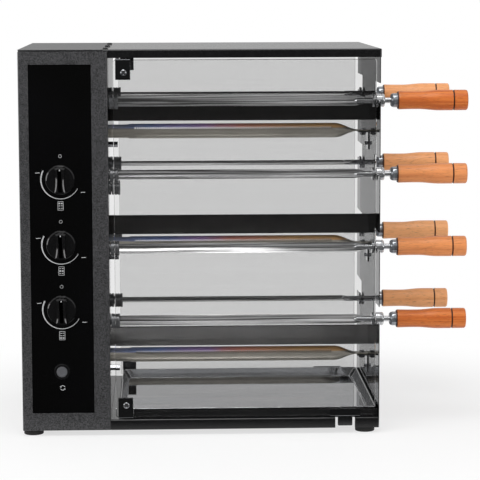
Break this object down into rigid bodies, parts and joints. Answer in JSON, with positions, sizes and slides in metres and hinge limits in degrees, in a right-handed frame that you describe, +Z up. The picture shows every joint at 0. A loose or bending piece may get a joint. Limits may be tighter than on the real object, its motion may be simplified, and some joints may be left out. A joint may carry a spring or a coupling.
{
  "type": "rotary skewer grill",
  "caption": "Upright gas rotisserie with motor-driven skewers, stacked tube burners under drip shields, glass doors and a side control box.",
  "frame": {"origin": "centre of the overall box, on the surface the feet stand on", "axes": "+X to the right along the skewers towards the wooden handles, +Y from the control panel side to the back, +Z up"},
  "size_m": [0.641, 0.38, 0.5512],
  "materials": {
    "dark_casing": "black powder coat with a fine texture",
    "gloss_panel": "gloss black",
    "polished_steel": "polished",
    "heated_steel": "satin, straw and blue where it gets hot",
    "plated_steel": "bright plated",
    "bronze": "sintered",
    "chain_steel": "oiled",
    "turned_steel": "turned",
    "motor_grey": "satin",
    "valve_brass": "cast and machined",
    "pipe_aluminium": "drawn",
    "manifold_steel": "zinc plated",
    "gland_plastic": "matt",
    "bezel_plastic": "satin",
    "button_plastic": "satin",
    "knob_plastic": "satin",
    "foot_rubber": "matt",
    "door_glass": "clear",
    "skewer_steel": "polished",
    "handle_wood": "oiled beech"
  },
  "bodies": {
    "tray": {"drip_tray": "polished_steel"},
    "motor_button": {"button_cap": "button_plastic"},
    "centre_drive": {"centre_socket": "turned_steel"},
    "front_door": {"front_door_glass": "door_glass", "front_hinge_clips": "plated_steel", "front_door_pull": "plated_steel"},
    "rear_door": {"rear_door_glass": "door_glass", "rear_hinge_clips": "plated_steel", "rear_door_pull": "plated_steel"},
    "gas_knob_top": {"knob_top": "knob_plastic"},
    "gas_knob_middle": {"knob_middle": "knob_plastic"},
    "gas_knob_bottom": {"knob_bottom": "knob_plastic"},
    "spit_front_1": {"drive_socket_front_1": "turned_steel", "skewer_front_1": "skewer_steel", "handle_front_1": "handle_wood"},
    "spit_front_2": {"drive_socket_front_2": "turned_steel", "skewer_front_2": "skewer_steel", "handle_front_2": "handle_wood"},
    "spit_front_3": {"drive_socket_front_3": "turned_steel", "skewer_front_3": "skewer_steel", "handle_front_3": "handle_wood"},
    "spit_front_4": {"drive_socket_front_4": "turned_steel", "skewer_front_4": "skewer_steel", "handle_front_4": "handle_wood"},
    "spit_rear_1": {"drive_socket_rear_1": "turned_steel", "skewer_rear_1": "skewer_steel", "handle_rear_1": "handle_wood"},
    "spit_rear_2": {"drive_socket_rear_2": "turned_steel", "skewer_rear_2": "skewer_steel", "handle_rear_2": "handle_wood"},
    "spit_rear_3": {"drive_socket_rear_3": "turned_steel", "skewer_rear_3": "skewer_steel", "handle_rear_3": "handle_wood"},
    "spit_rear_4": {"drive_socket_rear_4": "turned_steel", "skewer_rear_4": "skewer_steel", "handle_rear_4": "handle_wood"},
    "root": {"base_pan": "dark_casing", "bearing_plate": "plated_steel", "burner_angles": "plated_steel", "burner_bolts": "plated_steel", "burner_pipes": "pipe_aluminium", "burners": "heated_steel", "cable_gland": "gland_plastic", "case_screws": "plated_steel", "control_box_back": "dark_casing", "control_box_lid": "dark_casing", "control_box_shell": "dark_casing", "control_panel": "gloss_panel", "divider_wall": "polished_steel", "drip_shields": "polished_steel", "drive_chain": "chain_steel", "feet": "foot_rubber", "gas_manifold": "manifold_steel", "gas_valves": "valve_brass", "gear_motor": "motor_grey", "hub_bushes": "bronze", "right_wall": "polished_steel", "switch_body": "bezel_plastic", "top_cover": "dark_casing"}
  },
  "joints": [
    {"name": "turn_front_1", "type": "hinge", "parent": "root", "child": "spit_front_1", "pos_m": [-0.1955, -0.1, 0.4725], "axis": [1, 0, 0], "continuous": true},
    {"name": "turn_front_2", "type": "hinge", "parent": "root", "child": "spit_front_2", "pos_m": [-0.1955, -0.1, 0.3665], "axis": [1, 0, 0], "continuous": true},
    {"name": "turn_front_3", "type": "hinge", "parent": "root", "child": "spit_front_3", "pos_m": [-0.1955, -0.1, 0.2605], "axis": [1, 0, 0], "continuous": true},
    {"name": "turn_front_4", "type": "hinge", "parent": "root", "child": "spit_front_4", "pos_m": [-0.1955, -0.1, 0.1545], "axis": [1, 0, 0], "continuous": true},
    {"name": "turn_rear_1", "type": "hinge", "parent": "root", "child": "spit_rear_1", "pos_m": [-0.1955, 0.1, 0.4725], "axis": [1, 0, 0], "continuous": true},
    {"name": "turn_rear_2", "type": "hinge", "parent": "root", "child": "spit_rear_2", "pos_m": [-0.1955, 0.1, 0.3665], "axis": [1, 0, 0], "continuous": true},
    {"name": "turn_rear_3", "type": "hinge", "parent": "root", "child": "spit_rear_3", "pos_m": [-0.1955, 0.1, 0.2605], "axis": [1, 0, 0], "continuous": true},
    {"name": "turn_rear_4", "type": "hinge", "parent": "root", "child": "spit_rear_4", "pos_m": [-0.1955, 0.1, 0.1545], "axis": [1, 0, 0], "continuous": true},
    {"name": "turn_centre", "type": "hinge", "parent": "root", "child": "centre_drive", "pos_m": [-0.1955, 0, 0.339], "axis": [1, 0, 0], "continuous": true},
    {"name": "turn_knob_top", "type": "hinge", "parent": "root", "child": "gas_knob_top", "pos_m": [-0.2629, -0.17, 0.367], "axis": [0, -1, 0], "range_deg": [0, 240]},
    {"name": "turn_knob_middle", "type": "hinge", "parent": "root", "child": "gas_knob_middle", "pos_m": [-0.2629, -0.17, 0.2745], "axis": [0, -1, 0], "range_deg": [0, 240]},
    {"name": "turn_knob_bottom", "type": "hinge", "parent": "root", "child": "gas_knob_bottom", "pos_m": [-0.2629, -0.17, 0.182], "axis": [0, -1, 0], "range_deg": [0, 240]},
    {"name": "press_button", "type": "slide", "parent": "root", "child": "motor_button", "axis": [0, 1, 0], "range_m": [0, 0.0025], "stiffness_N_per_m": 600},
    {"name": "open_front_door", "type": "hinge", "parent": "root", "child": "front_door", "pos_m": [-0.1815, -0.166, 0.0255], "axis": [0, 0, -1], "range_deg": [0, 110]},
    {"name": "open_rear_door", "type": "hinge", "parent": "root", "child": "rear_door", "pos_m": [-0.1815, 0.166, 0.0255], "axis": [0, 0, 1], "range_deg": [0, 110]},
    {"name": "lift_tray", "type": "slide", "parent": "root", "child": "tray", "axis": [0, 0, 1], "range_m": [0, 0.018]}
  ],
  "couplings": [
    {"joint": "turn_front_2", "follows": "turn_front_1", "ratio": 1},
    {"joint": "turn_front_3", "follows": "turn_front_1", "ratio": 1},
    {"joint": "turn_front_4", "follows": "turn_front_1", "ratio": 1},
    {"joint": "turn_rear_1", "follows": "turn_front_1", "ratio": 1},
    {"joint": "turn_rear_2", "follows": "turn_front_1", "ratio": 1},
    {"joint": "turn_rear_3", "follows": "turn_front_1", "ratio": 1},
    {"joint": "turn_rear_4", "follows": "turn_front_1", "ratio": 1},
    {"joint": "turn_centre", "follows": "turn_front_1", "ratio": -1}
  ]
}
